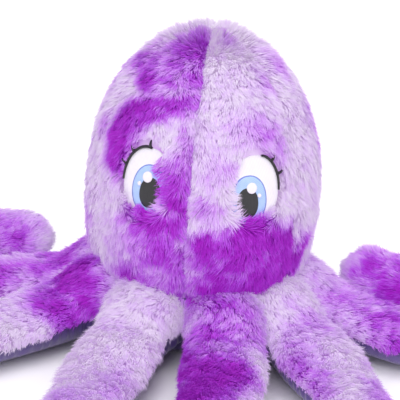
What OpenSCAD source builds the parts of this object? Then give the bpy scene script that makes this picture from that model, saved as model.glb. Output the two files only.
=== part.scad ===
// Plush octopus: a stuffed head of six fur gores on a satin base, and eight stuffed tentacles.
// Each tentacle is a fur top sewn to a satin underside round a filling, and hinges at its root.
// +Z is up, the face looks along -Y, and the origin is the centre of the flat base, on the floor.
// Left and right are as seen from in front, so left is -X.

/* [Head] */
// Largest radius of the head, to the top of the dense pile
head_r = 63; // [60:0.5:66]
// Height of the widest part above the floor
head_mid_z = 80; // [76:1:90]
// Height of the crown above the widest part
crown_h = 92; // [80:1:100]
// Radius at the seam where the head meets its base
rim_r = 57.5; // [55:0.5:58]
// Height of that seam above the floor
rim_z = 38; // [37:0.5:42]
// Radius of the flat satin base
base_r = 40; // [30:1:44]
// Where the front seam lies beside the middle of the face, in degrees; negative is towards -X
seam_turn = -5; // [-6:1:0]

/* [Eyes] */
// How far each eye is turned from the centre of the face, in degrees
eye_turn = 28.5; // [26:0.5:32]
// Height of the middle of the eyes above the floor
eye_z = 102; // [96:1:108]
// Width of the embroidered white of an eye
eye_w = 28; // [24:1:30]
// Height of the embroidered white of an eye
eye_h = 36; // [30:1:38]

/* [Tentacles] */
// Length from the root hinge to the tip
tentacle_l = 180; // [170:1:190]
// Half the width of a tentacle where it is widest
tentacle_half_w = 20.5; // [19:0.5:21]
// Half the height of a tentacle at its root, and the radius of its rounded root
root_r = 16; // [15:0.5:16.5]
// Half the height of a tentacle at its tip
tip_half_h = 12; // [11.5:0.5:13]
// Distance from the middle of the head to the root hinges
hinge_r = 68; // [67.5:0.5:70]
// Radius of the curl at the end of the two curled tentacles
curl_r = 20.5; // [20.5:0.5:23]

/* [Fabric] */
// Thickness of the fur fabric: backing and dense pile
fur_t = 4.5; // [3:0.5:6]
// Thickness of the satin with its seam allowance
satin_t = 1.5; // [1:0.1:2]

/* [Hidden] */

// How each tentacle lies. Angles are from straight ahead, positive towards +X. The curl starts at
// its distance from the hinge, 0 for none.
// [name, place of its root on the ring, heading at the root, heading of its outer part, curl]
TENTACLES = [
    ["front_left", -26, -19, -10, 0],
    ["front_right", 16, 2, -6, 0],
    ["fore_left", -66, -58, -40, 0],
    ["fore_right", 50, 34, 19, 0],
    ["rear_left", -97, -90, -82, 66],
    ["rear_right", 86, 66, 56, 54],
    ["back_left", -158, -165, -177, 0],
    ["back_right", 146, 172, 184, 0]
];
PLACE = 1;
OUT = 2;
TO = 3;
CURL = 4;

// Stretch behind the root where the heading changes, and its number of rings.
bend_l = 60;
bend_rings = 4;
// A curl leans back from upright by curl_lean and turns through curl_angle.
curl_lean = 70;
curl_angle = 180;
curl_steps = 6;
// Radius of the rounded tip, and the half width where it starts.
tip_r = 15;
tip_half_w = 17;
root_half_w = 17.5;
// The tentacle reaches its full width and its lower height this far from the hinge.
swell_l = 45;
thin_l = 60;
dome_angles = [28, 53, 76];
// The seam between fur and satin lies this far below the middle of a tentacle's side.
seam_angle = 8;
fur_sides = 8;
satin_sides = 5;
// Exponent under 1 that squares off an ellipse, so that the underside lies flat.
squareness = 0.85;

// Shape of the head above its widest part: exponents of a soft cone.
crown_p = 2.3;
crown_q = 0.55;
crown_steps = 10;
lower_steps = 4;
gore_angle = 60;

// Points up the side of the base, as [radius, height], between its flat and the lower seam.
base_side = [[47, 5], [50, 14], [50.5, 28]];

// The eye's pocket lies this far below the top of the pile; its layers stack outwards from there.
eye_depth = 3.6;
white_t = 1.2;
iris_t = 0.6;
pupil_t = 0.5;
highlight_t = 0.4;
// The eye's ovals lean outwards at the top by these angles.
white_lean = 6;
iris_lean = 5;
// Middles of the iris and pupil from the middle of the white, and their sizes as shares of it.
iris_at = [-2.6, -3.2];
iris_share = [0.72, 0.74];
pupil_at = [-3.8, -4.6];
pupil_share = [0.43, 0.46];
white_power = 0.92;
iris_power = 0.95;
outline_steps = 28;
// The two highlights: [x, y, radius].
highlights = [[-1.8, 3.4, 2.9], [2.6, -0.8, 1.1]];
// The lash band's width, its shift from the white, and the angle and height of its lower end.
lash_w = 2.2;
lash_shift = [0.9, 0.5];
lash_cut_angle = -38;
lash_cut = 1.5;
// Three lashes: where they stand round the eye, their length, half width and how far they curve.
lash_angles = [28, 52, 76];
lash_l = 4.6;
lash_half_w = 1.2;
lash_tip = 0.7;

// The care label: width, length, thickness, depth into the seam and angle from upright.
label_size = [14, 20, 0.9];
label_depth = 2;
label_tilt = 38;

fur_light = [0.84, 0.74, 0.91];
fur_dark = [0.66, 0.25, 0.84];
satin_colour = [0.30, 0.20, 0.45];

// ---------------------------------------------------------------- head

function lower_r(z) =
    head_r - (head_r - rim_r) * pow((head_mid_z - z) / (head_mid_z - rim_z), 2);

// Outline of the head from its lower seam to the crown, shrunk by off.
function head_outline(off) = concat(
    [for (i = [0:lower_steps - 1])
        let (z = rim_z + (head_mid_z - rim_z) * i / lower_steps) [lower_r(z) - off, z]],
    [for (i = [0:crown_steps])
        let (up = sin(90 * i / crown_steps))
        [(head_r - off) * pow(1 - pow(up, crown_p), crown_q), head_mid_z + (crown_h - off) * up]]
);

// Outline of the base from its middle to the lower seam, shrunk by off.
function base_outline(off) = [
    [0, off],
    [base_r - off / 2, off],
    for (p = base_side) [p[0] - off, p[1]],
    [rim_r - off, rim_z]
];

function reversed(list) = [for (i = [len(list) - 1:-1:0]) list[i]];

module head_shell(off_out, off_in) {
    polygon(concat(head_outline(off_out), reversed(head_outline(off_in))));
}

// One gore between two depths below the pile's top. The gores are counted round from the front
// seam towards +X, so 0 is the front gore on the +X side and 5 the one on the -X side.
module gore(count, off_out = 0, off_in = fur_t) {
    rotate([0, 0, 270 + seam_turn + count * gore_angle])
    rotate_extrude(angle = gore_angle) head_shell(off_out, off_in);
}

function front_count(side) = side < 0 ? 5 : 0;

// A front gore has a pocket in its pile, down to the backing that the eye is stitched on.
module front_gore(side) {
    difference() {
        gore(front_count(side));
        eye_layer(side, eye_depth, eye_depth + 1) {
            eye_white_2d();
            lashes_2d();
        }
    }
}

module base_panel() {
    color(satin_colour)
    rotate_extrude()
    polygon(concat(base_outline(0), reversed(base_outline(satin_t))));
}

module head_filling() {
    color("white")
    rotate_extrude()
    polygon(concat(base_outline(satin_t), head_outline(fur_t)));
}

module care_label() {
    color("white")
    translate([0, rim_r - label_depth, rim_z - label_depth]) rotate([-label_tilt, 0, 0])
    translate([-label_size[0] / 2, 0, 0]) cube(label_size);
}

// ---------------------------------------------------------------- eyes

function oval(w, h, power) = [for (i = [0:outline_steps - 1])
    let (a = 360 * i / outline_steps, c = cos(a), s = sin(a))
    [w / 2 * sign(c) * pow(abs(c), power), h / 2 * sign(s) * pow(abs(s), power)]];

// Flat outlines as seen from outside, for the eye on the +X side; +X is outwards.
module eye_white_2d() {
    rotate(white_lean) polygon(oval(eye_w, eye_h, white_power));
}

module iris_2d() {
    translate(iris_at) rotate(iris_lean)
    polygon(oval(eye_w * iris_share[0], eye_h * iris_share[1], iris_power));
}

module pupil_2d() {
    translate(pupil_at) rotate(iris_lean)
    polygon(oval(eye_w * pupil_share[0], eye_h * pupil_share[1], iris_power));
}

module highlights_2d() {
    for (h = highlights) translate([h[0], h[1]]) circle(r = h[2], $fn = 20);
}

// A dark band along the upper outer edge of the white, with three short lashes.
module lashes_2d() {
    big = 2 * (eye_w + eye_h);
    difference() {
        union() {
            difference() {
                rotate(white_lean) translate(lash_shift)
                polygon(oval(eye_w + lash_w, eye_h + lash_w, white_power));
                rotate(lash_cut_angle) translate([-big / 2, lash_cut - big]) square(big);
            }
            for (a = lash_angles)
                rotate(a) translate([eye_w / 2 + (eye_h - eye_w) / 2 * sin(a), 0])
                polygon([[0, -lash_half_w], [lash_l, lash_tip], [0, lash_half_w]]);
        }
        eye_white_2d();
    }
}

// The children's outline, pushed straight out through the head's wall.
module eye_prism(side) {
    rotate([0, 0, side * eye_turn])
    translate([0, 0, eye_z])
    rotate([90, 0, 0])
    linear_extrude(head_r + 5)
    mirror([side < 0 ? 1 : 0, 0])
    children();
}

// An eye layer: the children's outline as a skin of the head, built outwards from a depth.
module eye_layer(side, depth, thickness) {
    intersection() {
        gore(front_count(side), depth - thickness, depth);
        eye_prism(side) children();
    }
}

module eye_white(side) {
    color([0.95, 0.94, 0.96])
    eye_layer(side, eye_depth, white_t) eye_white_2d();
}

module iris(side) {
    color([0.62, 0.74, 0.92])
    eye_layer(side, eye_depth - white_t, iris_t) iris_2d();
}

module pupil(side) {
    color([0.12, 0.12, 0.13])
    eye_layer(side, eye_depth - white_t - iris_t, pupil_t) pupil_2d();
}

module highlights(side) {
    color("white")
    eye_layer(side, eye_depth - white_t - iris_t - pupil_t, highlight_t) highlights_2d();
}

module lashes(side) {
    color([0.12, 0.12, 0.13])
    eye_layer(side, eye_depth, white_t) lashes_2d();
}

// ---------------------------------------------------------------- tentacles

function ahead(a) = [sin(a), -cos(a), 0];
function leftwards(a) = [cos(a), sin(a), 0];
up = [0, 0, 1];

function smooth(x) = let (c = min(max(x, 0), 1)) c * c * (3 - 2 * c);

// Half width and half height at distance s from the hinge.
body_l = tentacle_l - tip_r;
function half_w(s) = root_half_w + (tentacle_half_w - root_half_w) * smooth(s / swell_l)
    - (tentacle_half_w - tip_half_w) * smooth((s - swell_l) / (body_l - swell_l));
function half_h(s) = root_r - (root_r - tip_half_h) * smooth(s / thin_l);

// A point on the centre line as it would lie flat on the floor, without its height.
function heading(t, s) = t[OUT] + (t[TO] - t[OUT]) * min(max(s, 0), bend_l) / bend_l;
function plan_point(t, s) =
    let (
        bent = min(max(s, 0), bend_l),
        rate = (t[TO] - t[OUT]) / bend_l,
        a = heading(t, s),
        arc = 180 / PI / rate * [cos(t[OUT]) - cos(a), sin(t[OUT]) - sin(a), 0] * sign(bent)
    )
    hinge_r * ahead(t[PLACE]) + arc + (s - bent) * ahead(a);

// Where the section at s is, as [middle, sideways, fur side], in the curl or out of it.
function flat_section(t, s) =
    let (a = heading(t, s), clamped = min(max(s, 0), body_l))
    [plan_point(t, s) + half_h(clamped) * up, leftwards(a), up];
function back_sign(t) = leftwards(t[TO])[1] > 0 ? 1 : -1;
function curled_section(t, s) =
    let (
        start = flat_section(t, t[CURL]),
        turn = min((s - t[CURL]) / curl_r * 180 / PI, curl_angle),
        past = max(s - t[CURL] - curl_r * curl_angle * PI / 180, 0),
        out = ahead(t[TO]),
        side = start[1] * back_sign(t),
        bend_dir = cos(curl_lean) * up + sin(curl_lean) * side,
        axle = sin(curl_lean) * up - cos(curl_lean) * side,
        tangent = cos(turn) * out + sin(turn) * bend_dir,
        inward = cos(turn) * bend_dir - sin(turn) * out
    )
    [
        start[0] + curl_r * (sin(turn) * out + (1 - cos(turn)) * bend_dir) + past * tangent,
        back_sign(t) * (sin(curl_lean) * inward - cos(curl_lean) * axle),
        cos(curl_lean) * inward + sin(curl_lean) * axle
    ];
function section(t, s) =
    t[CURL] > 0 && s > t[CURL] ? curled_section(t, s) : flat_section(t, s);

// Length of the stretch before a curl, or where the heading still changes, and of the curl itself.
function straight_l(t) = t[CURL] > 0 ? t[CURL] : bend_l;
curl_l = curl_r * curl_angle * PI / 180;

// Stations along a tentacle: [distance, share of the end's radius along, share across, end's radius].
function stations(t) = concat(
    [for (a = dome_angles) [0, -cos(a), sin(a), root_r]],
    [for (i = [0:bend_rings]) [straight_l(t) * i / bend_rings, 0, 1, 0]],
    t[CURL] > 0
        ? [for (i = [1:curl_steps]) [t[CURL] + curl_l * i / curl_steps, 0, 1, 0]]
        : [for (s = [85:25:135]) [s, 0, 1, 0]],
    [[body_l, 0, 1, 0]],
    [for (a = reversed(dome_angles)) [body_l, cos(a), sin(a), tip_r]]
);

// A point on the section at a station, at angle a, off below the surface.
function skin_point(t, st, a, off) =
    let (
        s = st[0] + st[1] * (st[3] - off),
        at = section(t, s),
        c = cos(a),
        n = sin(a),
        w = (half_w(st[0]) - off) * st[2] * sign(c) * pow(abs(c), squareness),
        h = (half_h(st[0]) - off) * st[2] * sign(n) * pow(abs(n), squareness)
    )
    at[0] + w * at[1] + h * at[2];

OFFS = [0, satin_t, fur_t];
function pole_points(t, along, base, end_r) =
    [for (off = OFFS) section(t, base + along * (end_r - off))[0]];

function fur_angles() = [for (i = [0:fur_sides])
    -seam_angle + (180 + 2 * seam_angle) * i / fur_sides];
function satin_angles() = [for (i = [0:satin_sides])
    180 + seam_angle + (180 - 2 * seam_angle) * i / satin_sides];

// Outlines of a section as [angle, layer, flip]: flip chooses the diagonal of the strip that
// starts there, so that two pieces that share a wall split it the same way.
function fur_ring() = concat(
    [for (i = [0:fur_sides]) [fur_angles()[i], 0, i == fur_sides]],
    [[180 + seam_angle, 1, true]],
    [for (i = [fur_sides:-1:0]) [fur_angles()[i], 2, i > 0]],
    [[-seam_angle, 1, false]]
);
function satin_ring() = concat(
    [for (i = [0:satin_sides]) [satin_angles()[i], 0, i == satin_sides]],
    [for (i = [satin_sides:-1:0]) [satin_angles()[i], 1, i > 0]]
);
function filling_ring() = concat(
    [for (a = fur_angles()) [a, 2, false]],
    [for (i = [0:satin_sides]) [satin_angles()[i], 1, i == satin_sides]]
);

// A closed solid that carries an outline from the root to the tip.
module swept(t, ring) {
    st = stations(t);
    n = len(ring);
    rings = len(st);
    function id(k, i) = let (p = ring[i % n][1])
        k < 0 ? n * rings + p : k >= rings ? n * rings + len(OFFS) + p : k * n + i % n;
    strips = [for (k = [-1:rings - 1], i = [0:n - 1])
        let (a = id(k, i), b = id(k, i + 1), c = id(k + 1, i + 1), d = id(k + 1, i))
        each ring[i][2] ? [[a, d, b], [b, d, c]] : [[a, c, b], [a, d, c]]];
    polyhedron(
        points = concat(
            [for (s = st, p = ring) skin_point(t, s, p[0], OFFS[p[1]])],
            pole_points(t, -1, 0, root_r),
            pole_points(t, 1, body_l, tip_r)
        ),
        faces = [for (f = strips) if (f[0] != f[1] && f[1] != f[2] && f[2] != f[0]) f]
    );
}

module tentacle_fur(i) {
    color(i % 2 == 0 ? fur_light : fur_dark) swept(TENTACLES[i], fur_ring());
}

module tentacle_satin(i) {
    color(satin_colour) swept(TENTACLES[i], satin_ring());
}

module tentacle_filling(i) {
    color("white") swept(TENTACLES[i], filling_ring());
}

// ---------------------------------------------------------------- parts

color(fur_dark) front_gore(-1);  // head_front_left
color(fur_light) front_gore(1);  // head_front_right
color(fur_light) gore(4);  // head_side_left
color(fur_light) gore(1);  // head_side_right
color(fur_dark) gore(3);  // head_back_left
color(fur_light) gore(2);  // head_back_right
base_panel();
head_filling();
care_label();
for (side = [-1, 1]) {
    suffix = side < 0 ? "_left" : "_right";
    eye_white(side);
    iris(side);
    pupil(side);
    highlights(side);
    lashes(side);
}
for (i = [0:len(TENTACLES) - 1]) {
    tentacle_fur(i);
    tentacle_satin(i);
    tentacle_filling(i);
}
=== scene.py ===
"""Looks of a plush octopus: fur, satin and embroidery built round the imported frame.

Shapes are worked out in millimetres, in the frame's own axes, and become metres when a mesh is made.
Angles round the toy are in degrees from straight ahead (-Y), positive towards +X.
"""

import math

import bpy
import numpy as np
from mathutils import Matrix, Vector


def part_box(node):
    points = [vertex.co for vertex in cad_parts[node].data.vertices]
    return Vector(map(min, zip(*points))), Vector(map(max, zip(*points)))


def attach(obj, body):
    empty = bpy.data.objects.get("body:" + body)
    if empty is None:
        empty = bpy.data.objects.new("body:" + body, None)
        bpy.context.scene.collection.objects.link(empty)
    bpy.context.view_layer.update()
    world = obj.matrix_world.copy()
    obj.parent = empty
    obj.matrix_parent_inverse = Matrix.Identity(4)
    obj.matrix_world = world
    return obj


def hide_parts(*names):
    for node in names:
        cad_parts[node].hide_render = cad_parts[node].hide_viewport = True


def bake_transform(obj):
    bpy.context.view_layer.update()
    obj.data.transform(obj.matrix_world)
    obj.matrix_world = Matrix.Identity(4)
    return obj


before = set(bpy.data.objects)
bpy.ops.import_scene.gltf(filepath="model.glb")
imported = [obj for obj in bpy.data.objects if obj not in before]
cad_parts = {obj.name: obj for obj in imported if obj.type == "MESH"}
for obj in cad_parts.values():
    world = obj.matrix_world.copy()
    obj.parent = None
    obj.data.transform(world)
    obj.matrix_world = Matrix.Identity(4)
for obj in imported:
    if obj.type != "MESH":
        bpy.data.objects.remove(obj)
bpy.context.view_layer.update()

MM = 0.001

# ---------------------------------------------------------------- sizes shared with the CAD
HEAD_R = 63.0
HEAD_MID_Z = 80.0
CROWN_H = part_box("head_front_left")[1].z / MM - HEAD_MID_Z
RIM_R = 57.5
RIM_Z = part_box("base_panel")[1].z / MM
BASE_R = 40.0
BASE_SIDE = [(47.0, 5.0), (50.0, 14.0), (50.5, 28.0)]
CROWN_P = 2.3
CROWN_Q = 0.55
GORE = 60.0
SEAM_TURN = -5.0
EYE_TURN = 28.5
EYE_Z = 102.0
EYE_W = 28.0
EYE_H = 36.0
EYE_LEAN = math.radians(6)
EYE_POWER = 0.92
# The visual skin of the head lies this far under the CAD's surface, and goes on this far below the
# lower seam, behind the roots of the tentacles.
HEAD_SKIN = 2.8
SKIRT = 9.0
CROWN_LIFT = 2.5
TENTACLE_SKIN = 3.3
# The pile starts this far above the middle of a tentacle's side, so that a strip of satin shows.
PILE_ANGLE = 7.0

HINGE_R = 68.0
ROOT_R = 16.0
TIP_HALF_H = 12.0
ROOT_HALF_W = 17.5
FULL_HALF_W = 20.5
TIP_HALF_W = 17.0
TIP_R = 15.0
BODY_L = 165.0
SWELL_L = 45.0
BEND_L = 60.0
SQUARENESS = 0.85
THIN_L = 60.0
CURL_R = 20.5
CURL_LEAN = math.radians(70)
CURL_ANGLE = math.pi
# name: (place of the root on the ring, heading at the root, heading of the outer part,
# distance from the hinge where it starts to curl back, 0 for none)
TENTACLES = {
    "front_left": (-26, -19, -10, 0),
    "front_right": (16, 2, -6, 0),
    "fore_left": (-66, -58, -40, 0),
    "fore_right": (50, 34, 19, 0),
    "rear_left": (-97, -90, -82, 66),
    "rear_right": (86, 66, 56, 54),
    "back_left": (-158, -165, -177, 0),
    "back_right": (146, 172, 184, 0),
}
# The visual root goes on inwards from the hinge, up under the edge of the head.
ROOT_REACH = 22.0
ROOT_RISE = 15.0
# Extra half width of the visual tentacle near its root.
FLARE = 4.0
UP = np.array([0.0, 0.0, 1.0])

# ---------------------------------------------------------------- noise
TABLE = np.random.default_rng(11).random((8192, 6))


def cell_random(cells):
    """Six fixed random numbers for each cell of a grid."""
    mixed = (cells[:, 0] * 73856093) ^ (cells[:, 1] * 19349663) ^ (cells[:, 2] * 83492791)
    return TABLE[mixed & 8191]


def noise(points, size, channels=1):
    """Smooth noise from -1 to 1 whose lumps have the given size."""
    scaled = points / size + 31.7
    base = np.floor(scaled).astype(np.int64)
    part = scaled - base
    part = part * part * (3 - 2 * part)
    total = np.zeros((len(points), channels))
    for corner in np.ndindex(2, 2, 2):
        share = np.prod(np.where(corner, part, 1 - part), axis=1)
        total += share[:, None] * cell_random(base + corner)[:, :channels]
    return (total * 2 - 1)[:, 0] if channels == 1 else total * 2 - 1


def tufts(points, size):
    """The middle of the tuft that each point belongs to, and three random numbers of that tuft."""
    cells = np.floor(points / size).astype(np.int64)
    nearest = np.full(len(points), np.inf)
    middle = np.zeros_like(points)
    own = np.zeros_like(points)
    for step in np.ndindex(3, 3, 3):
        cell = cells + step - 1
        numbers = cell_random(cell)
        centre = (cell + numbers[:, :3]) * size
        distance = ((points - centre) ** 2).sum(1)
        closer = distance < nearest
        nearest[closer] = distance[closer]
        middle[closer] = centre[closer]
        own[closer] = numbers[closer, 3:]
    return middle, own


# ---------------------------------------------------------------- small maths
def smooth(x):
    c = np.clip(x, 0, 1)
    return c * c * (3 - 2 * c)


def unit(v):
    return v / np.maximum(np.linalg.norm(v, axis=-1, keepdims=True), 1e-9)


def signed_power(x, power):
    return np.sign(x) * np.abs(x) ** power


def ahead(degrees):
    a = np.radians(degrees)
    return np.stack([np.sin(a), -np.cos(a), np.zeros_like(a)], -1)


def leftwards(degrees):
    a = np.radians(degrees)
    return np.stack([np.cos(a), np.sin(a), np.zeros_like(a)], -1)


def bump(x, middle, width):
    return np.exp(-(((x - middle) / width) ** 2))


# ---------------------------------------------------------------- shape of the head
RIM_SHARE = 0.32


def head_profile(v, off):
    """Radius and height of the head's outline, from its lower edge at v = 0 to the crown at 1."""
    low = np.clip(v / RIM_SHARE, 0, 1)
    z_low = HEAD_MID_Z - (HEAD_MID_Z - RIM_Z + SKIRT) * (1 - low)
    r_low = HEAD_R - (HEAD_R - RIM_R) * ((HEAD_MID_Z - z_low) / (HEAD_MID_Z - RIM_Z)) ** 2 - off
    up = np.sin(0.5 * np.pi * np.clip((v - RIM_SHARE) / (1 - RIM_SHARE), 0, 1))
    r_up = (HEAD_R - off) * np.clip(1 - up**CROWN_P, 0, 1) ** CROWN_Q
    z_up = HEAD_MID_Z + (CROWN_H + CROWN_LIFT - off) * up
    return np.where(v < RIM_SHARE, r_low, r_up), np.where(v < RIM_SHARE, z_low, z_up)


def face_relief(azimuth, z):
    """How far the stuffed face stands out: two cheeks, a muzzle, and hollows for the eyes."""
    side = np.abs(azimuth)
    cheeks = 4.0 * bump(side, 22, 17) * bump(z, 64, 17)
    muzzle = 1.5 * bump(azimuth, 0, 30) * bump(z, 76, 12)
    sockets = -2.0 * bump(side, EYE_TURN, 15) * bump(z, EYE_Z - 2, 17)
    brows = 1.0 * bump(side, EYE_TURN, 18) * bump(z, EYE_Z + 27, 10)
    return cheeks + muzzle + sockets + brows


def head_seam_distance(u, r):
    """Millimetres from a point on a gore to its nearer side seam."""
    return np.minimum(u, 1 - u) * math.radians(GORE) * r


def gore_surface(count):
    """The sewn, stuffed skin of one gore, counted as in the CAD."""

    def surface(u, v):
        azimuth = (SEAM_TURN + (count + u) * GORE + 180) % 360 - 180
        r, z = head_profile(v, HEAD_SKIN)
        out = face_relief(azimuth, z) + 1.0 * np.sin(np.pi * u) * smooth(r / 40)
        out -= 2.4 * bump(head_seam_distance(u, r), 0, 2.6) * smooth(r / 12)
        out -= 4.0 * bump(z, RIM_Z + 3, 5)
        place = ahead(azimuth)
        point = place * r[:, None] + UP * z[:, None]
        out += 1.0 * noise(point, 24)
        return point + place * (out * smooth(r / 25))[:, None]

    return surface


# ---------------------------------------------------------------- shape of a tentacle
def half_w(s):
    wide = ROOT_HALF_W + (FULL_HALF_W - ROOT_HALF_W) * smooth(s / SWELL_L)
    return wide - (FULL_HALF_W - TIP_HALF_W) * smooth((s - SWELL_L) / (BODY_L - SWELL_L))


def half_h(s):
    return ROOT_R - (ROOT_R - TIP_HALF_H) * smooth(s / THIN_L)


def flat_section(t, s):
    """Middle, sideways and fur-side directions of the sections at distances s from the hinge."""
    place, out, to, _ = t
    bent = np.clip(s, 0, BEND_L)
    turn = out + (to - out) * bent / BEND_L
    rate = math.radians(to - out) / BEND_L
    a, a0 = np.radians(turn), math.radians(out)
    arc = np.stack([np.cos(a0) - np.cos(a), np.sin(a0) - np.sin(a), 0 * a], -1) / rate
    inwards = np.clip(s, None, 0)[:, None] * ahead((out + place) / 2)
    onwards = (np.clip(s, 0, None) - bent)[:, None] * ahead(turn)
    middle = HINGE_R * ahead(place) + arc + inwards + onwards
    middle = middle + half_h(np.clip(s, 0, BODY_L))[:, None] * UP
    return middle, leftwards(turn), np.broadcast_to(UP, middle.shape)


def curled_section(t, s):
    curl_s = t[3]
    start, side, _ = flat_section(t, np.full(len(s), float(curl_s)))
    back = 1.0 if leftwards(t[2])[1] > 0 else -1.0
    side = side * back
    turn = np.minimum((s - curl_s) / CURL_R, CURL_ANGLE)[:, None]
    past = np.maximum(s - curl_s - CURL_R * CURL_ANGLE, 0)[:, None]
    out = ahead(t[2])
    cos_lean, sin_lean = math.cos(CURL_LEAN), math.sin(CURL_LEAN)
    bend = cos_lean * UP + sin_lean * side
    axle = sin_lean * UP - cos_lean * side
    tangent = np.cos(turn) * out + np.sin(turn) * bend
    inward = np.cos(turn) * bend - np.sin(turn) * out
    middle = start + CURL_R * (np.sin(turn) * out + (1 - np.cos(turn)) * bend) + past * tangent
    return middle, back * (sin_lean * inward - cos_lean * axle), cos_lean * inward + sin_lean * axle


def section(t, s):
    flat = flat_section(t, s)
    if not t[3]:
        return flat
    curled = curled_section(t, np.maximum(s, t[3]))
    past = (s > t[3])[:, None]
    return tuple(np.where(past, c, f) for c, f in zip(curled, flat))


TIP_ARC = TIP_R * np.pi / 2
SKIN_L = ROOT_REACH + BODY_L + TIP_ARC


def tentacle_point(t, along, angle, off):
    """A point of the skin: along runs from -ROOT_REACH to the tip, angle from 0 at the side."""
    dome = np.clip((along - BODY_L) / TIP_ARC, 0, 1) * np.pi / 2
    s = np.where(along < BODY_L, along, BODY_L + np.sin(dome) * (TIP_R - off))
    base = np.clip(s, 0, BODY_L)
    middle, side, upward = section(t, s)
    c, n = np.cos(angle), np.sin(angle)
    inner = smooth((6 - s) / 18)
    flare = FLARE * smooth((75 - s) / 45) + 2.0 * inner
    w = (half_w(base) - off + flare) * np.cos(dome) * signed_power(c, SQUARENESS)
    h = (half_h(base) - off) * np.cos(dome) * signed_power(n, SQUARENESS)
    rise = ROOT_RISE * smooth((14 - s) / 26) * np.abs(n) ** SQUARENESS
    h = np.where(n > 0, h + rise, h * (1 - 0.45 * inner))
    return middle + w[:, None] * side + h[:, None] * upward


def tentacle_surface(t, low, high, off, lumps):
    """Skin between two angles round the section, in radians; v runs from the root to the tip."""

    def surface(u, v):
        angle = low + (high - low) * u
        point = tentacle_point(t, v * SKIN_L - ROOT_REACH, angle, off)
        centre = tentacle_point(t, v * SKIN_L - ROOT_REACH, angle, off + 1)
        return point + unit(point - centre) * (lumps * noise(point, 19))[:, None]

    return surface


# ---------------------------------------------------------------- meshes
def surface_frame(surface, u, v):
    """Points of a surface with their outward normals and their directions along u and v."""
    e = 1e-3
    u0, u1 = np.clip(u - e, 0, 1), np.clip(u + e, 0, 1)
    v0, v1 = np.clip(v - e, 0, 1), np.clip(v + e, 0, 1)
    point = surface(u, v)
    along_u = unit(surface(u1, v) - surface(u0, v))
    along_v = unit(surface(u, v1) - surface(u, v0))
    return point, unit(np.cross(along_u, along_v)), along_u, along_v


def fill_mesh(name, points, faces, uv=None, pile=None, normals=None, smooth_shade=True):
    """A mesh object from millimetre points and a list of face arrays, each (count, corners)."""
    mesh = bpy.data.meshes.new(name)
    corners = np.concatenate([f.ravel() for f in faces]).astype(np.int32)
    totals = np.concatenate([np.full(len(f), f.shape[1]) for f in faces])
    starts = np.concatenate([[0], np.cumsum(totals)[:-1]]).astype(np.int32)
    mesh.vertices.add(len(points))
    mesh.vertices.foreach_set("co", (points * MM).astype(np.float32).ravel())
    mesh.loops.add(len(corners))
    mesh.loops.foreach_set("vertex_index", corners)
    mesh.polygons.add(len(starts))
    mesh.polygons.foreach_set("loop_start", starts)
    mesh.polygons.foreach_set("use_smooth", np.full(len(starts), smooth_shade))
    mesh.update(calc_edges=True)
    if uv is not None:
        layer = mesh.uv_layers.new(name="OFBake")
        layer.uv.foreach_set("vector", uv[corners].astype(np.float32).ravel())
    if pile is not None:
        attribute = mesh.attributes.new("pile", "FLOAT_VECTOR", "POINT")
        attribute.data.foreach_set("vector", pile.astype(np.float32).ravel())
    if normals is not None:
        mesh.normals_split_custom_set_from_vertices(normals.astype(np.float32))
    piece = bpy.data.objects.new(name, mesh)
    bpy.context.scene.collection.objects.link(piece)
    return piece


def grid_faces(columns, rows, start=0):
    """Quads of a grid of columns by rows points, row after row, facing the u-cross-v side."""
    i, j = np.meshgrid(np.arange(columns - 1), np.arange(rows - 1))
    a = start + (j * columns + i).ravel()
    return np.stack([a, a + 1, a + columns + 1, a + columns], 1)


def grid_coordinates(columns, rows):
    v, u = np.meshgrid(np.linspace(0, 1, rows), np.linspace(0, 1, columns), indexing="ij")
    return u.ravel(), v.ravel()


# ---------------------------------------------------------------- fur
def scatter(surface, count, rng):
    """Random places on a surface, evenly spread over its area, as u and v."""
    columns, rows = 40, 60
    u, v = grid_coordinates(columns + 1, rows + 1)
    grid = surface(u, v).reshape(rows + 1, columns + 1, 3)
    across, down = grid[:-1, 1:] - grid[:-1, :-1], grid[1:, :-1] - grid[:-1, :-1]
    area = np.linalg.norm(np.cross(across, down), axis=-1).ravel()
    cell = rng.choice(area.size, count, p=area / area.sum())
    u = (cell % columns + rng.random(count)) / columns
    v = (cell // columns + rng.random(count)) / rows
    return u, v


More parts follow.
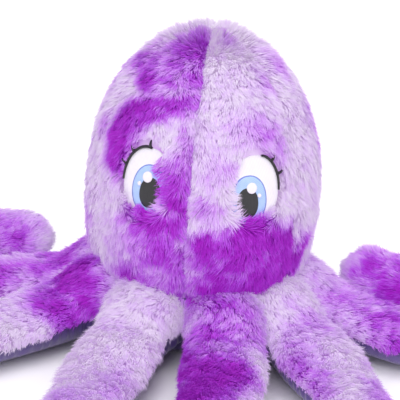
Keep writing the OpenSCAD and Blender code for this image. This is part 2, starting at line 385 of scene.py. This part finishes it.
def fur_piece(name, surface, comb, dye, count, seed, length, width, columns, rows, trim=None,
              lean=50, tuft_size=3.6, spread=1.0, crown=0.0):
    """A skin with its pile: every fibre is a bent, tapered blade, gathered into tufts.

    comb(u, v, point, normal, along_u, along_v) gives the direction the pile lies in, dye(point, u, v)
    the depth of the dye from 0 to 1, and trim(...) each fibre's share of its length, 0 for none.
    The pile leans by lean degrees, and stands up by the share crown at the end where v is 1.
    """
    rng = np.random.default_rng(seed)
    u, v = scatter(surface, count, rng)
    root, normal, along_u, along_v = surface_frame(surface, u, v)
    flow = comb(u, v, root, normal, along_u, along_v)
    swirl = np.radians(spread * (42 * noise(root, 13) + 26 * noise(root, 5.5) + rng.normal(0, 12, count)))
    flow = flow - (flow * normal).sum(1)[:, None] * normal
    flow = unit(flow)
    across = np.cross(normal, flow)
    flow = flow * np.cos(swirl)[:, None] + across * np.sin(swirl)[:, None]
    middle, own = tufts(root, tuft_size)
    reach = length * (0.82 + 0.3 * own[:, 0]) * rng.uniform(0.8, 1.12, count)
    share = np.ones(count) if trim is None else trim(u, v, root, root + flow * reach[:, None])
    keep = share > 0
    root, normal, flow, middle, own = (x[keep] for x in (root, normal, flow, middle, own))
    u, v, reach, across = u[keep], v[keep], (reach * share)[keep], across[keep]
    count = len(root)

    tilt = np.radians(lean + 14 * (own[:, 1] - 0.5) + rng.normal(0, 6, count))
    tilt *= 1 - crown * smooth((v - 0.72) / 0.2)
    first = np.cos(0.6 * tilt)[:, None] * normal + np.sin(0.6 * tilt)[:, None] * flow
    last = np.cos(1.25 * tilt)[:, None] * normal + np.sin(1.25 * tilt)[:, None] * flow
    gather = middle - root
    gather -= (gather * normal).sum(1)[:, None] * normal
    knee = root + first * (0.5 * reach)[:, None] + 0.16 * gather
    tip = knee + last * (0.5 * reach)[:, None] + 0.26 * gather
    twist = rng.uniform(-0.5, 0.5, count)[:, None]
    direction = unit(tip - root)
    broad = unit(np.cross(direction, normal))
    blade = np.cos(twist) * broad + np.sin(twist) * np.cross(direction, broad)
    half = 0.5 * width * rng.uniform(0.7, 1.25, count)[:, None]
    foot = root - 0.5 * normal
    points = np.stack([foot - half * blade, foot + half * blade,
                       knee - 0.85 * half * blade, knee + 0.85 * half * blade, tip], 1)
    facing = np.cross(blade, direction)
    wrong = (facing * normal).sum(1) < 0
    points[wrong] = points[wrong][:, [1, 0, 3, 2, 4]]
    facing[wrong] *= -1
    soft = unit(1.0 * normal + 0.25 * unit(facing))

    skin_u, skin_v = grid_coordinates(columns, rows)
    skin, skin_normal, _, _ = surface_frame(surface, skin_u, skin_v)
    n = len(skin)
    index = n + 5 * np.arange(count)[:, None]
    blades = np.concatenate([index + [0, 1, 3], index + [0, 3, 2], index + [2, 3, 4]])
    dye_skin = dye(skin, skin_u, skin_v)
    dye_fur = dye(root, u, v) + 0.16 * (own[:, 2] - 0.5)
    # Height along each fibre, 0 at the root and 1 at the tip, picks the material's painted shade at the
    # roots. The skin under the pile gets a low height, so it takes that painted shade too.
    heights = np.array([0.0, 0.0, 0.55, 0.55, 1.0])
    pile = np.concatenate([
        np.stack([dye_skin, np.full(n, 0.25), np.full(n, 0.5)], 1),
        np.stack([np.repeat(dye_fur, 5), np.tile(heights, count), np.repeat(rng.random(count), 5)], 1),
    ])
    border = 0.01
    uv_skin = border + (1 - 2 * border) * np.stack([skin_u, skin_v], 1)
    uv_fur = border + (1 - 2 * border) * np.repeat(np.stack([u, v], 1), 5, axis=0)
    return fill_mesh(
        name,
        np.concatenate([skin, points.reshape(-1, 3)]),
        [grid_faces(columns, rows), blades],
        uv=np.concatenate([uv_skin, uv_fur]),
        pile=pile,
        normals=np.concatenate([skin_normal, np.repeat(soft, 5, axis=0)]),
    )


# ---------------------------------------------------------------- dye
# Patches of dye on each gore of the head: [azimuth, height, spread round, spread up (mm), strength].
HEAD_DYE = {
    "front_left": [
        [-30, 166, 30, 5, 0.5], [-26, 158, 20, 5, 0.58], [-46, 155, 14, 5, 0.55], [-12, 160, 8, 7, 0.4],
        [-14, 146, 12, 4, 0.5], [-30, 145, 11, 4, 0.65], [-39, 140, 8, 6, 0.85], [-44, 131, 8, 8, 0.95],
        [-47, 121, 7, 9, 0.95], [-49, 111, 6, 7, 0.8], [-16, 117, 9, 7, 0.78], [-13, 107, 8, 7, 0.75],
        [-9, 94, 8, 8, 0.85], [-24, 82, 16, 6, 0.85], [-9, 80, 8, 7, 0.75], [-24, 70, 18, 9, 0.62],
        [-36, 54, 10, 7, 0.85], [-12, 56, 12, 10, 0.7], [-8, 126, 2.5, 20, 0.35], [-28, 42, 20, 6, 0.7],
    ],
    "front_right": [
        [24, 172, 20, 3, 0.35], [34, 134, 11, 8, 0.3], [46, 120, 9, 9, 0.25], [50, 153, 9, 6, 0.35],
        [8, 119, 9, 6, 0.25], [4, 92, 7, 7, 0.35], [24, 74, 14, 7, 0.85], [38, 66, 15, 12, 0.9],
        [49, 76, 9, 9, 0.85], [8, 67, 14, 10, 0.88], [8, 50, 14, 10, 0.95], [28, 50, 22, 10, 0.95],
        [52, 56, 9, 14, 0.9], [20, 38, 26, 6, 0.9], [48, 40, 12, 6, 0.8],
    ],
    "side_left": [
        [-72, 155, 14, 6, 0.45], [-74, 74, 8, 8, 0.45], [-66, 118, 5, 7, 0.45], [-104, 140, 16, 9, 0.55],
        [-94, 118, 10, 10, 0.3], [-116, 96, 12, 14, 0.6], [-100, 66, 18, 11, 0.7], [-84, 50, 10, 7, 0.4],
    ],
    "side_right": [
        [60, 58, 9, 15, 0.9], [66, 70, 6, 8, 0.5], [64, 42, 8, 6, 0.7], [98, 120, 12, 14, 0.45],
        [106, 134, 10, 6, 0.4], [110, 72, 14, 16, 0.7], [94, 52, 12, 9, 0.45], [76, 158, 12, 6, 0.35],
    ],
    "back_left": [
        [-146, 154, 22, 8, 0.75], [-134, 136, 12, 10, 0.5], [-152, 100, 18, 10, 0.75],
        [-168, 86, 12, 14, 0.6], [-172, 126, 8, 14, 0.35], [-136, 58, 16, 9, 0.6], [-160, 46, 14, 8, 0.4],
    ],
    "back_right": [
        [140, 156, 22, 8, 0.6], [158, 142, 12, 8, 0.4], [144, 112, 14, 13, 0.5], [132, 96, 9, 12, 0.4],
        [168, 70, 14, 10, 0.75], [156, 54, 14, 10, 0.65], [128, 60, 10, 12, 0.4],
    ],
}
# Patches on the tentacles: [along (mm), across from -1 to 1, spread along, spread across, strength].
TENTACLE_DYE = {
    "front_left": [[66, 0.4, 16, 0.4, 0.2], [96, -0.3, 16, 0.5, 0.25], [124, 0.2, 18, 0.8, 0.4],
                   [156, -0.1, 18, 0.8, 0.75]],
    "front_right": [[28, -0.7, 20, 0.7, 0.8], [54, -0.3, 24, 0.8, 0.95], [44, 0.3, 14, 0.5, 0.7],
                    [84, -0.5, 26, 0.8, 0.95], [104, 0.4, 18, 0.5, 0.4], [0, 0.0, 16, 1.2, 0.6],
                    [140, 0.2, 22, 0.9, 0.7]],
    "fore_left": [[4, 0.0, 13, 1.3, 0.8], [22, 0.4, 9, 0.7, 0.65], [56, -0.5, 16, 0.5, 0.3],
                  [104, 0.2, 18, 0.8, 0.6], [146, 0.0, 18, 1.0, 0.75]],
    "fore_right": [[14, 0.1, 14, 0.6, 0.35], [34, -0.6, 14, 0.4, 0.45], [66, -0.7, 18, 0.4, 0.4],
                   [86, 0.6, 18, 0.5, 0.35], [120, 0.0, 18, 0.9, 0.6], [156, 0.2, 16, 0.8, 0.75]],
    "rear_left": [[10, 0.0, 18, 1.2, 0.7], [44, 0.3, 16, 0.9, 0.65], [76, -0.3, 18, 0.9, 0.5],
                  [110, 0.3, 20, 0.9, 0.6], [150, -0.2, 22, 1.0, 0.55]],
    "rear_right": [[14, 0.2, 22, 1.2, 0.45], [52, -0.2, 24, 1.2, 0.55], [98, 0.1, 28, 1.3, 0.72],
                   [144, 0.0, 26, 1.2, 0.72]],
    "back_left": [[14, -0.3, 20, 0.8, 0.35], [56, 0.4, 22, 0.7, 0.7], [98, -0.4, 18, 0.7, 0.5],
                  [140, 0.1, 20, 1.0, 0.75]],
    "back_right": [[26, 0.3, 20, 0.8, 0.7], [70, -0.4, 18, 0.7, 0.4], [108, 0.2, 18, 0.8, 0.65],
                   [156, 0.0, 16, 1.0, 0.4]],
}
DYE_FLOOR = 0.10


def mottled(depth, point):
    """Dye depth with the blotchy edges of hand dyeing, and strands that took less of it."""
    blotch = 0.24 * noise(point, 11) + 0.20 * noise(point, 4.5) + 0.10 * noise(point, 30)
    return np.clip(DYE_FLOOR + depth * (1 + 0.9 * blotch) + 0.30 * blotch, 0, 1)


def blended(strengths):
    """Patches laid over one another: together they never pass full strength."""
    clear = 1.0
    for s in strengths:
        clear = clear * (1 - s)
    return 1 - clear


def head_dye(gore):
    def dye(point, u, v):
        warp = point + 3.5 * noise(point, 12, 3) + 7.0 * noise(point, 34, 3)
        azimuth = np.degrees(np.arctan2(warp[:, 0], -warp[:, 1]))
        patches = []
        for a, z, wide, tall, strength in HEAD_DYE[gore]:
            away = (azimuth - a + 180) % 360 - 180
            inside = np.sqrt((away / wide) ** 2 + ((warp[:, 2] - z) / tall) ** 2)
            patches.append(strength * smooth((1.9 - inside) / 1.7))
        return mottled(blended(patches), point)

    return dye


def tentacle_dye(name):
    def dye(point, u, v):
        warp = noise(point, 14, 3)
        along = v * SKIN_L - ROOT_REACH + 5 * warp[:, 0]
        angle = np.radians(PILE_ANGLE + (180 - 2 * PILE_ANGLE) * u)
        across = np.cos(angle) + 0.2 * warp[:, 1]
        patches = []
        for s, c, long, broad, strength in TENTACLE_DYE[name]:
            inside = np.sqrt(((along - s) / long) ** 2 + ((across - c) / broad) ** 2)
            patches.append(strength * smooth((1.8 - inside) / 1.6))
        return mottled(blended(patches), point)

    return dye


# ---------------------------------------------------------------- materials
def srgb(code):
    """Linear RGBA from a colour written as six hex digits."""
    parts = [int(code[i:i + 2], 16) / 255 for i in (0, 2, 4)]
    return tuple(c / 12.92 if c <= 0.04045 else ((c + 0.055) / 1.055) ** 2.4 for c in parts) + (1.0,)


class Nodes:
    """A material's node tree, with short calls to add nodes and join them."""

    def __init__(self, name):
        self.material = bpy.data.materials.new(name)
        self.material.use_nodes = True
        self.tree = self.material.node_tree
        self.shader = self.tree.nodes["Principled BSDF"]

    def add(self, kind, inputs=None, **settings):
        node = self.tree.nodes.new("ShaderNode" + kind)
        for key, value in settings.items():
            setattr(node, key, value)
        for key, value in (inputs or {}).items():
            if isinstance(value, bpy.types.NodeSocket):
                self.tree.links.new(value, node.inputs[key])
            else:
                node.inputs[key].default_value = value
        return node

    def math(self, operation, a, b):
        return self.add("Math", {0: a, 1: b}, operation=operation).outputs[0]

    def ramp(self, factor, stops):
        node = self.add("ValToRGB", {"Fac": factor})
        elements = node.color_ramp.elements
        while len(elements) < len(stops):
            elements.new(0.5)
        for element, (place, colour) in zip(elements, stops):
            element.position = place
            element.color = colour
        return node.outputs["Color"]

    def mix(self, factor, a, b, blend="MIX"):
        node = self.add("Mix", data_type="RGBA", blend_type=blend)
        for socket, value in ((node.inputs[0], factor), (node.inputs[6], a), (node.inputs[7], b)):
            if isinstance(value, bpy.types.NodeSocket):
                self.tree.links.new(value, socket)
            else:
                socket.default_value = value
        return node.outputs[2]

    def noise(self, scale, detail=2.0, roughness=0.5):
        where = self.add("TexCoord").outputs["Object"]
        inputs = {"Vector": where, "Scale": scale, "Detail": detail, "Roughness": roughness}
        return self.add("TexNoise", inputs).outputs["Fac"]

    def finish(self, colour, roughness, **constants):
        self.tree.links.new(colour, self.shader.inputs["Base Color"])
        if isinstance(roughness, bpy.types.NodeSocket):
            self.tree.links.new(roughness, self.shader.inputs["Roughness"])
        else:
            self.shader.inputs["Roughness"].default_value = roughness
        for key, value in constants.items():
            self.shader.inputs[key.replace("_", " ")].default_value = value
        return self.material

    def raised(self, height, distance, strength=1.0):
        inputs = {"Height": height, "Distance": distance, "Strength": strength}
        self.tree.links.new(self.add("Bump", inputs).outputs[0], self.shader.inputs["Normal"])


def fur_material():
    """Dyed polyester pile: light lilac to saturated purple, with painted shade at the roots (darker and
    more saturated) and paler tips.
    """
    n = Nodes("dyed_plush")
    pile = n.add("Attribute", attribute_name="pile").outputs["Vector"]
    parts = n.add("SeparateXYZ", {0: pile})
    dye, height, own = parts.outputs
    uneven = n.math("MULTIPLY_ADD", n.noise(520.0, 3.0), 0.16)
    uneven.node.inputs[2].default_value = -0.08
    strand = n.math("MULTIPLY_ADD", own, 0.24)
    strand.node.inputs[2].default_value = -0.12
    depth = n.math("ADD", n.math("ADD", dye, uneven), strand)
    top = n.ramp(depth, [(0.0, srgb("D0C5D8")), (0.22, srgb("CDB6DC")), (0.5, srgb("C391DB")),
                         (0.78, srgb("AD4CD0")), (1.0, srgb("9E26B8"))])
    # Colour of the roots: a darker, more saturated copy of the tips' colour. It is painted shade deep in
    # the pile, blended towards the tips by the height along each fibre.
    shaded_root_colour = n.ramp(depth, [(0.0, srgb("CCBDD4")), (0.3, srgb("B787CE")), (0.6, srgb("9229B2")),
                          (1.0, srgb("7C0C98"))])
    rise = n.add("MapRange", {"Value": height, "From Min": 0.1, "From Max": 0.8}).outputs[0]
    # Light spreads from fibre to fibre inside the pile and soaks through to their far sides. It is
    # drawn as a faint glow of the pile's own colour, stronger on a fibre's far side.
    colour = n.mix(rise, shaded_root_colour, top)
    soaked = n.math("MULTIPLY_ADD", n.add("NewGeometry").outputs["Backfacing"], 0.66)
    soaked.node.inputs[2].default_value = 0.34
    glow = n.add("VectorMath", {0: colour, "Scale": soaked}, operation="SCALE")
    n.tree.links.new(glow.outputs[0], n.shader.inputs["Emission Color"])
    return n.finish(colour, 0.9, Sheen_Weight=0.05, Sheen_Roughness=0.5, Specular_IOR_Level=0.05,
                    Emission_Strength=0.5)


def satin_material():
    """Dark purple satin: a fine twill with a soft gloss."""
    n = Nodes("purple_satin")
    shade = n.ramp(n.noise(24.0, 3.0), [(0.3, srgb("3A2A60")), (0.7, srgb("5A4486"))])
    where = n.add("TexCoord").outputs["Object"]
    weave = n.add("TexWave", {"Vector": where, "Scale": 900.0, "Distortion": 1.2},
                  bands_direction="DIAGONAL")
    n.raised(weave.outputs["Fac"], 0.00008, 0.35)
    thread = n.mix(n.math("MULTIPLY", weave.outputs["Fac"], 0.22), shade, srgb("8C76BC"))
    return n.finish(thread, 0.36, Sheen_Weight=0.2, Specular_IOR_Level=0.6)


def thread_material(name, dark, light, angle, gloss=0.45):
    """Satin stitch: rows of shiny thread laid side by side at an angle."""
    n = Nodes(name)
    where = n.add("TexCoord").outputs["Object"]
    turned = n.add("Mapping", {"Vector": where, "Rotation": (0.0, angle, 0.0)}).outputs[0]
    rows = n.add("TexWave", {"Vector": turned, "Scale": 420.0, "Distortion": 2.0, "Detail": 2.0,
                             "Detail Scale": 3.0}).outputs["Fac"]
    n.raised(rows, 0.0001, 0.5)
    worn = n.math("MULTIPLY", n.noise(260.0), 0.5)
    return n.finish(n.mix(n.math("ADD", n.math("MULTIPLY", rows, 0.5), worn), srgb(dark), srgb(light)),
                    gloss, Specular_IOR_Level=0.5)


def label_material():
    n = Nodes("label_ribbon")
    where = n.add("TexCoord").outputs["Object"]
    rows = n.add("TexWave", {"Vector": where, "Scale": 700.0, "Distortion": 0.5}).outputs["Fac"]
    n.raised(rows, 0.00006, 0.4)
    return n.finish(n.mix(rows, srgb("E4E0E6"), srgb("F6F4F7")), 0.5)


def floor_material():
    n = Nodes("studio_floor")
    return n.finish(n.ramp(n.noise(3.0), [(0.0, srgb("FBFBFC")), (1.0, srgb("FFFFFF"))]), 0.7,
                    Specular_IOR_Level=0.1)


def use(piece, material):
    piece.data.materials.clear()
    piece.data.materials.append(material)


# ---------------------------------------------------------------- head
def eye_place(side, point):
    """Where a head point lies in an eye's own outline: x outwards, y up, in half sizes, and their norm."""
    sideways, forward = leftwards(side * EYE_TURN), ahead(side * EYE_TURN)
    x = side * (point @ sideways)
    y = point[:, 2] - EYE_Z
    in_front = point @ forward > 0
    c, s = math.cos(EYE_LEAN), math.sin(EYE_LEAN)
    ex = (x * c + y * s) / (EYE_W / 2)
    ey = (-x * s + y * c) / (EYE_H / 2)
    rho = (np.abs(ex) ** (2 / EYE_POWER) + np.abs(ey) ** (2 / EYE_POWER)) ** (EYE_POWER / 2)
    return ex, ey, np.where(in_front, rho, 9.0)


def fur_edge(side, ey):
    """How far in, in half widths of an eye, it is open: the pile covers the rest of its inner side."""
    return (-0.85 if side > 0 else -0.58) + (0.25 if side > 0 else 0.50) * smooth((ey + 0.1) / 0.95)


def head_trim(u, v, root, tip):
    """Shorter pile beside the seams, none on the open part of the eyes, and less under the lashes."""
    r = np.hypot(root[:, 0], root[:, 1])
    share = 0.42 + 0.58 * smooth(head_seam_distance(u, r) / 3.6)
    for side in (-1, 1):
        ex, ey, rho = eye_place(side, root)
        _, _, rho_tip = eye_place(side, tip)
        open_side = (ex > -0.45) & (ey > -0.55)
        bare = (rho < 1.02) & (ex > fur_edge(side, ey) - 0.2) & (ey > -0.86)
        share = np.where(bare, 0, share)
        share = np.where(open_side & (rho_tip < 1.04), 0, share)
        lashes = open_side & (rho < 1.30) & (ex > -0.2) & (ey > -0.1)
        share = np.where(lashes, share * 0.5, share)
    return share


def head_comb(u, v, point, normal, along_u, along_v):
    """Down the head; beside the eyes it is brushed over their inner and lower edges."""
    flow = -along_v
    for side in (-1, 1):
        ex, ey, rho = eye_place(side, point)
        near = smooth((1.35 - rho) / 0.4)
        towards = -ex[:, None] * side * leftwards(side * EYE_TURN) - ey[:, None] * UP
        covers = near * ((ex < fur_edge(side, ey)) | (ey < -0.6))
        flow = flow + 2.2 * covers[:, None] * towards
    return flow


HEAD_GORES = ["front_right", "side_right", "back_right", "back_left", "side_left", "front_left"]


def build_head(fur):
    for count, name in enumerate(HEAD_GORES):
        front = name.startswith("front")
        piece = fur_piece(
            "plush_head_" + name, gore_surface(count), head_comb, head_dye(name),
            count=34000 if front else 24000, seed=100 + count, length=7.2, width=0.5,
            columns=49, rows=97, trim=head_trim, lean=58, crown=0.7)
        use(piece, fur)
        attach(piece, "head")
        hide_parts("head_" + name)


def build_base(satin):
    """The satin underside of the head: a flat bottom that rolls up to the lower seam."""
    corners = [(0.0, 0.0), (BASE_R * 0.6, 0.0), (BASE_R, 0.3)] + BASE_SIDE + [(RIM_R - 5, RIM_Z)]
    lengths = np.concatenate([[0], np.cumsum([math.dist(a, b) for a, b in zip(corners, corners[1:])])])
    columns, rows = 145, 49
    share = np.linspace(0, lengths[-1], rows)
    r = np.interp(share, lengths, [c[0] for c in corners])
    z = np.interp(share, lengths, [c[1] for c in corners])
    azimuth = np.linspace(0, 360, columns)
    pucker = 0.35 * np.sin(np.radians(azimuth) * 36)[None, :] * smooth((r - BASE_R) / 10)[:, None]
    point = ahead(azimuth)[None] * (r[:, None] + pucker)[..., None] + UP * z[:, None, None]
    piece = fill_mesh("satin_base", point.reshape(-1, 3), [grid_faces(columns, rows)])
    use(piece, satin)
    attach(piece, "head")
    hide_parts("base_panel", "head_filling")


# ---------------------------------------------------------------- eyes
def eye_point(side, x, y, off):
    """The place on the head, off below the top of the pile, of a point of an eye's flat outline."""
    z = EYE_Z + y
    up = np.clip((z - HEAD_MID_Z) / CROWN_H, 0, 1)
    r = (HEAD_R - off) * np.clip(1 - up**CROWN_P, 0, 1) ** CROWN_Q
    forward = np.sqrt(np.maximum(r**2 - x**2, 1))
    return (forward[:, None] * ahead(side * EYE_TURN) + (side * x)[:, None] * leftwards(side * EYE_TURN)
            + z[:, None] * UP)


def stitched(name, node, side, outline, off, thickness, material, rings=14, around=96):
    """A patch of satin stitch: a low cushion over an outline, with rounded edges."""
    angle = np.linspace(0, 2 * np.pi, around, endpoint=False)
    edge = outline(angle)
    middle = edge.mean(0)
    share = np.sin(np.linspace(0, np.pi / 2, rings))
    flat = middle + share[:, None, None] * (edge - middle)
    height = thickness * np.sqrt(1 - share**6)
    height[-1] = -1.2
    depth = np.repeat(off - height, around)
    points = eye_point(side, flat[..., 0].ravel(), flat[..., 1].ravel(), depth)
    faces = []
    for k in range(rings - 1):
        a = k * around + np.arange(around)
        b = k * around + (np.arange(around) + 1) % around
        faces.append(np.stack([a, a + around, b + around, b], 1))
    quads = np.concatenate(faces)
    if side < 0:
        quads = quads[:, ::-1]
    piece = fill_mesh(name, points, [quads])
    use(piece, material)
    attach(piece, "head")
    if node:
        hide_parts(node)
    return piece


def oval(at, w, h, lean, power):
    def outline(angle):
        x = w / 2 * signed_power(np.cos(angle), power)
        y = h / 2 * signed_power(np.sin(angle), power)
        c, s = math.cos(lean), math.sin(lean)
        return np.stack([at[0] + x * c - y * s, at[1] + x * s + y * c], 1)

    return outline


IRIS_AT = (-2.6, -3.2)
PUPIL_AT = (-3.8, -4.6)
# Sizes of the iris and pupil as shares of the white's width and height.
IRIS_SHARE = (0.72, 0.74)
PUPIL_SHARE = (0.43, 0.46)
IRIS_POWER = 0.95
# How much smaller the light part of the iris is than its dark rim.
IRIS_RIM = 1.3
# The eye on the +X side looks a little further in and down.
GLANCE = {-1: (0.0, 0.0), 1: (-1.2, -1.8)}
IRIS_LEAN = math.radians(5)
HIGHLIGHTS = [(-1.8, 3.4, 2.9), (2.6, -0.8, 1.1)]
LASH_ANGLES = {-1: [17, 44, 84], 1: [17, 44]}
LASH_LINE_START = -8
LASH_LINE_END = {-1: 88, 1: 70}
LASH_LINE_W = 1.6


def strip(name, node, side, inner, outer, off, thickness, material, slot_name, across=7):
    """A narrow band of satin stitch between two flat edges."""
    share = np.linspace(0, 1, across)[None, :, None]
    flat = inner[:, None] * (1 - share) + outer[:, None] * share
    height = thickness * np.sqrt(1 - (2 * share[0, :, 0] - 1) ** 4)
    height[[0, -1]] = -1.2
    depth = np.tile(off - height, len(inner))
    points = eye_point(side, flat[..., 0].ravel(), flat[..., 1].ravel(), depth)
    quads = grid_faces(across, len(inner))
    piece = fill_mesh(name, points, [quads if side > 0 else quads[:, ::-1]])
    use(piece, material)
    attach(piece, "head")
    if node:
        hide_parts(node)


def rim_point(degrees):
    return oval((0, 0), EYE_W, EYE_H, EYE_LEAN, EYE_POWER)(np.radians(degrees))


def lash_band(start, end, width):
    """Edges of the dark rim along the upper outer side of an eye, thin at both ends."""
    share = np.linspace(0, 1, 40)
    edge = rim_point(start + (end - start) * share)
    grow = width * np.sin(np.pi * share) ** 0.5 * (0.55 + 0.45 * share)
    return edge - 0.4 * unit(edge), edge + grow[:, None] * unit(edge)


def lash(at):
    """Edges of one short curved lash that leaves the rim and hooks upwards."""
    share = np.linspace(0, 0.97, 14)
    foot = rim_point(np.array([at]))[0]
    out = np.array([math.cos(math.radians(at - 14)), math.sin(math.radians(at - 14))])
    turn = np.array([-out[1], out[0]])
    spine = foot + np.outer(0.4 + 3.6 * share, out) + np.outer(1.3 * share**2, turn)
    half = 0.65 * (1 - share) ** 0.7
    return spine - half[:, None] * turn, spine + half[:, None] * turn


def build_eyes():
    white = thread_material("white_thread", "D8D2DE", "E9E5EC", 0.3)
    blue = thread_material("blue_thread", "86A4DE", "B9D0F2", 0.9)
    edge_blue = thread_material("deep_blue_thread", "5566B8", "7C8CD4", 0.2)
    black = thread_material("black_thread", "141416", "2A2A2E", 0.1, 0.4)
    for side, tag in ((-1, "left"), (1, "right")):
        dx, dy = GLANCE[side]
        iris_at, pupil_at = (IRIS_AT[0] + dx, IRIS_AT[1] + dy), (PUPIL_AT[0] + dx, PUPIL_AT[1] + dy)
        iris_w, iris_h = EYE_W * IRIS_SHARE[0], EYE_H * IRIS_SHARE[1]
        rim = oval(iris_at, iris_w, iris_h, IRIS_LEAN, IRIS_POWER)
        inner = oval(iris_at, iris_w - IRIS_RIM, iris_h - IRIS_RIM, IRIS_LEAN, IRIS_POWER)
        pupil = oval(pupil_at, EYE_W * PUPIL_SHARE[0], EYE_H * PUPIL_SHARE[1], IRIS_LEAN, IRIS_POWER)
        eye = oval((0, 0), EYE_W, EYE_H, EYE_LEAN, EYE_POWER)
        stitched("embroidered_white_" + tag, "eye_white_" + tag, side, eye, 1.6, 0.9, white)
        stitched("embroidered_iris_rim_" + tag, None, side, rim, 0.8, 0.35, edge_blue)
        stitched("embroidered_iris_" + tag, "iris_" + tag, side, inner, 0.7, 0.5, blue)
        stitched("embroidered_pupil_" + tag, "pupil_" + tag, side, pupil, 0.3, 0.45, black)
        for i, (x, y, radius) in enumerate(HIGHLIGHTS):
            dot = oval((x + dx, y + dy), 2 * radius, 2 * radius, 0, 1)
            stitched(f"embroidered_highlight_{i + 1}_" + tag, "highlights_" + tag, side, dot, -0.1, 0.4,
                     white, 8, 32)
        line = lash_band(LASH_LINE_START, LASH_LINE_END[side], LASH_LINE_W)
        strip("embroidered_lash_line_" + tag, "lashes_" + tag, side, *line, 0.7, 0.7, black, "thread_black")
        for i, at in enumerate(LASH_ANGLES[side]):
            strip(f"embroidered_lash_{i + 1}_" + tag, None, side, *lash(at), 0.0, 0.6, black,
                  "thread_black", 5)


# ---------------------------------------------------------------- tentacles
def tentacle_comb(u, v, point, normal, along_u, along_v):
    """Towards the tip, and down over the satin at the sides."""
    droop = 2 * u - 1
    return along_v + (0.35 * signed_power(droop, 1.5))[:, None] * along_u


def tentacle_trim(u, v, root, tip):
    """No pile where the root is hidden in the head, and shorter pile beside the satin."""
    r = np.hypot(root[:, 0], root[:, 1])
    return np.where(r < 51, 0, 0.6 + 0.4 * smooth(np.minimum(u, 1 - u) / 0.12))


def build_tentacle(name, t, fur, satin, seed):
    low, high = math.radians(PILE_ANGLE), math.radians(180 - PILE_ANGLE)
    plush = fur_piece(
        "plush_tentacle_" + name, tentacle_surface(t, low, high, TENTACLE_SKIN, 0.8), tentacle_comb,
        tentacle_dye(name), count=30000, seed=seed, length=7.6, width=0.56, columns=41, rows=121,
        trim=tentacle_trim, lean=56, tuft_size=4.2)
    use(plush, fur)
    u, v = grid_coordinates(41, 161)
    smooth_surface = tentacle_surface(t, high, math.radians(360 + PILE_ANGLE), TENTACLE_SKIN - 0.6, 0.5)
    point, normal, _, _ = surface_frame(smooth_surface, u, v)
    edge = np.minimum(u, 1 - u)
    ripple = 0.45 * np.sin(v * 2 * np.pi * 30 + 4 * noise(point, 12)) * bump(edge, 0.06, 0.12)
    lining = fill_mesh("satin_tentacle_" + name, point + normal * ripple[:, None], [grid_faces(41, 161)])
    use(lining, satin)
    sewn = ((plush, "tentacle_fur_", "fur_tentacle"), (lining, "tentacle_satin_", "satin"))
    for piece, node, slot_name in sewn:
        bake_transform(piece)
        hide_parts(node + name)
    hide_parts("tentacle_filling_" + name)


# ---------------------------------------------------------------- care label
def build_label(material):
    """A blank folded ribbon in the rear seam."""
    lowest, highest = (np.array(c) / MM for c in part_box("care_label"))
    width = highest[0] - lowest[0]
    u, v = grid_coordinates(17, 25)
    x = (u - 0.5) * width
    y = lowest[1] + (highest[1] - lowest[1]) * (0.08 + 0.84 * v) + 0.7 * np.sin(v * 3.0)
    z = highest[2] - (highest[2] - lowest[2]) * (1 - v) * 0.94 - 0.5 + 0.5 * np.cos(u * 4.0)
    front = np.stack([x, y, z], 1)
    back = front + [0, 0.25, -0.45]
    n = len(front)
    rim = np.concatenate([np.arange(17), np.arange(1, 25) * 17 + 16, 24 * 17 + np.arange(15, -1, -1),
                          np.arange(23, 0, -1) * 17])
    after = np.roll(rim, -1)
    edges = np.stack([rim, after, after + n, rim + n], 1)
    piece = fill_mesh("care_tab", np.concatenate([front, back]),
                      [grid_faces(17, 25)[:, ::-1], grid_faces(17, 25, n), edges])
    use(piece, material)
    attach(piece, "head")
    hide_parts("care_label")


# ---------------------------------------------------------------- camera, light and floor
def build_camera():
    azimuth, elevation, roll = math.radians(1.5), math.radians(20), math.radians(3.6)
    distance = 0.9
    target = Vector((-0.0012, 0, 0.075))
    back = Vector((math.sin(azimuth) * math.cos(elevation), -math.cos(azimuth) * math.cos(elevation),
                   math.sin(elevation)))
    data = bpy.data.cameras.new("camera")
    data.lens = 146
    data.sensor_width = 36
    camera = bpy.data.objects.new("camera", data)
    camera.location = target + back * distance
    facing = back.to_track_quat("Z", "Y").to_matrix()
    camera.rotation_euler = (facing @ Matrix.Rotation(roll, 3, "Z")).to_euler()
    bpy.context.scene.collection.objects.link(camera)
    bpy.context.scene.camera = camera


# Soft lamps: name, place in metres, size in metres and power in watts.
LIGHTS = [
    ("key", (-0.5, -1.6, 1.3), 1.4, 17),
    ("fill", (1.4, -1.4, 0.9), 1.4, 8),
    ("top", (0.0, -0.3, 2.2), 1.6, 16),
    ("back", (0.9, 1.7, 1.4), 1.4, 12),
]


def add_area(name, location, size, power):
    data = bpy.data.lights.new(name, "AREA")
    data.size = size
    data.energy = power
    light = bpy.data.objects.new(name, data)
    light.location = location
    light.rotation_euler = Vector(location).to_track_quat("Z", "Y").to_euler()
    bpy.context.scene.collection.objects.link(light)


def build_studio():
    columns = 9
    u, v = grid_coordinates(columns, columns)
    span = 6000.0
    floor = fill_mesh("floor", np.stack([(u - 0.5) * span, (v - 0.5) * span, 0 * u - 0.2], 1),
                      [grid_faces(columns, columns)])
    use(floor, floor_material())
    world = bpy.data.worlds.new("studio")
    world.use_nodes = True
    world.node_tree.nodes["Background"].inputs[0].default_value = (1, 1, 1, 1)
    world.node_tree.nodes["Background"].inputs[1].default_value = 0.75
    bpy.context.scene.world = world
    for name, location, size, power in LIGHTS:
        add_area(name, location, size, power)
    bpy.context.scene.view_settings.view_transform = "Standard"


fur = fur_material()
satin = satin_material()
build_camera()
build_studio()
build_head(fur)
build_base(satin)
build_eyes()
for number, (name, t) in enumerate(TENTACLES.items()):
    build_tentacle(name, t, fur, satin, 200 + number)
build_label(label_material())
